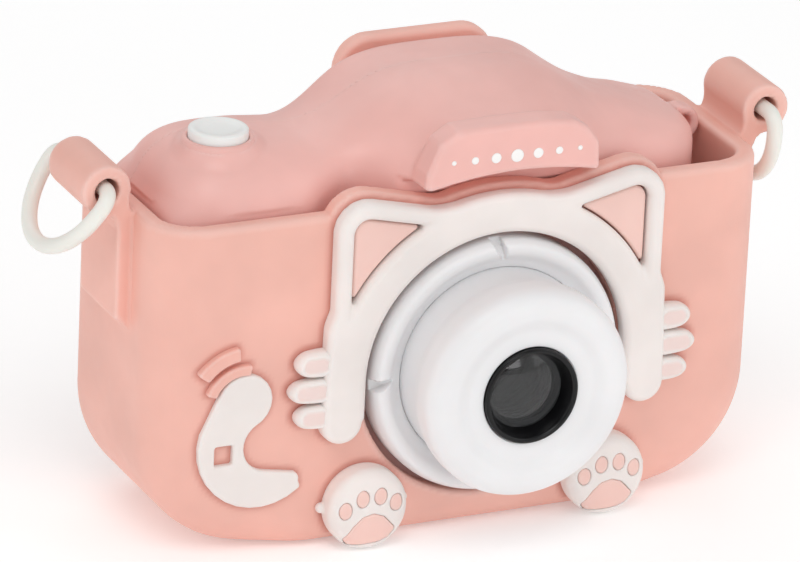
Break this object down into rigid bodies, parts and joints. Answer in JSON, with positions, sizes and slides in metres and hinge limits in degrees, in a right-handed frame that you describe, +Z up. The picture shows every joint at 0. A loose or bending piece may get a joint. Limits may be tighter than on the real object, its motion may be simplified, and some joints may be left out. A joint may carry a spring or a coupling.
{
  "type": "kids digital camera",
  "caption": "Toy digital camera with a fixed lens barrel, top shutter button and rear keys, in a soft silicone sleeve with cat relief and two strap rings.",
  "frame": {"origin": "on the surface the sleeve stands on, under the middle of the sleeve", "axes": "+Z up, -Y out of the lens, +X to the right seen from the lens side"},
  "size_m": [0.1122, 0.0479, 0.0628],
  "materials": {
    "sleeve_silicone": "soft matte silicone",
    "relief_white": "soft matte silicone",
    "pad_pink": "soft matte silicone",
    "body_plastic": "satin soft-touch plastic",
    "lens_white": "satin plastic",
    "lens_black": "gloss",
    "lens_glass": "clear, dark",
    "key_white": "satin",
    "ring_white": "semi-gloss",
    "screen_glass": "gloss",
    "screen_panel": "gloss",
    "seal_black": "matte foam",
    "membrane": "matte silicone",
    "module_black": "matte",
    "flex_film": "satin film",
    "circuit_board": "satin solder mask",
    "battery_wrap": "satin foil",
    "lead_wire": "satin insulation",
    "socket_metal": "bright",
    "card_black": "matte",
    "screw_steel": "bright zinc"
  },
  "bodies": {
    "camera": {"sleeve": "sleeve_silicone", "cat_frame": "relief_white", "ear_inlays": "sleeve_silicone", "cat_fingers": "relief_white", "hind_paws": "relief_white", "paw_pads": "pad_pink", "moon_inlay": "relief_white", "moon_hat": "sleeve_silicone", "front_shell": "body_plastic", "rear_shell": "body_plastic", "lens_base_ring": "lens_white", "lens_barrel": "lens_white", "lens_bezel": "lens_black", "lens_glass": "lens_glass", "lens_tube": "lens_black", "lens_element": "lens_glass", "front_camera_module": "module_black", "camera_flexes": "flex_film", "rear_camera_module": "module_black", "rear_lens_window": "lens_glass", "keypad_membrane": "membrane", "key_switches": "module_black", "shutter_switch": "module_black", "main_board": "circuit_board", "battery": "battery_wrap", "battery_leads": "lead_wire", "speaker": "module_black", "microphone": "socket_metal", "lcd_panel": "screen_panel", "lcd_gasket": "seal_black", "lcd_window": "screen_glass", "lcd_ribbon": "flex_film", "usb_socket": "socket_metal", "card_socket": "socket_metal", "shell_screws": "screw_steel", "board_screws": "screw_steel"},
    "shutter": {"shutter_button": "key_white"},
    "ring_left": {"strap_ring_left": "ring_white"},
    "ring_right": {"strap_ring_right": "ring_white"},
    "port_cover": {"port_cover": "sleeve_silicone"},
    "memory_card": {"memory_card": "card_black"},
    "key_up": {"button_up": "key_white"},
    "key_down": {"button_down": "key_white"},
    "key_left": {"button_left": "key_white"},
    "key_right": {"button_right": "key_white"},
    "key_ok": {"button_ok": "key_white"},
    "key_power": {"button_power": "key_white"},
    "key_mode": {"button_mode": "key_white"}
  },
  "joints": [
    {"name": "shutter_press", "type": "slide", "parent": "camera", "child": "shutter", "axis": [0, 0, -1], "range_m": [0, 0.001], "stiffness_N_per_m": 1000},
    {"name": "up_press", "type": "slide", "parent": "camera", "child": "key_up", "axis": [0, -1, 0], "range_m": [0, 0.0006], "stiffness_N_per_m": 1200},
    {"name": "down_press", "type": "slide", "parent": "camera", "child": "key_down", "axis": [0, -1, 0], "range_m": [0, 0.0006], "stiffness_N_per_m": 1200},
    {"name": "left_press", "type": "slide", "parent": "camera", "child": "key_left", "axis": [0, -1, 0], "range_m": [0, 0.0006], "stiffness_N_per_m": 1200},
    {"name": "right_press", "type": "slide", "parent": "camera", "child": "key_right", "axis": [0, -1, 0], "range_m": [0, 0.0006], "stiffness_N_per_m": 1200},
    {"name": "ok_press", "type": "slide", "parent": "camera", "child": "key_ok", "axis": [0, -1, 0], "range_m": [0, 0.0006], "stiffness_N_per_m": 1200},
    {"name": "power_press", "type": "slide", "parent": "camera", "child": "key_power", "axis": [0, -1, 0], "range_m": [0, 0.0006], "stiffness_N_per_m": 1200},
    {"name": "mode_press", "type": "slide", "parent": "camera", "child": "key_mode", "axis": [0, -1, 0], "range_m": [0, 0.0006], "stiffness_N_per_m": 1200},
    {"name": "ring_left_swing", "type": "hinge", "parent": "camera", "child": "ring_left", "pos_m": [-0.0504, 0.00155, 0.05275], "axis": [0, 1, 0], "range_deg": [-33, 167]},
    {"name": "ring_right_swing", "type": "hinge", "parent": "camera", "child": "ring_right", "pos_m": [0.0504, 0.0001, 0.05275], "axis": [0, -1, 0], "range_deg": [-1, 199]},
    {"name": "port_cover_swing", "type": "hinge", "parent": "camera", "child": "port_cover", "pos_m": [-0.0106, 0.0045, 0.0019], "axis": [0, 1, 0], "range_deg": [0, 100]},
    {"name": "card_slide", "type": "slide", "parent": "camera", "child": "memory_card", "axis": [0, 0, -1], "range_m": [-0.0007, 0.0009]}
  ]
}
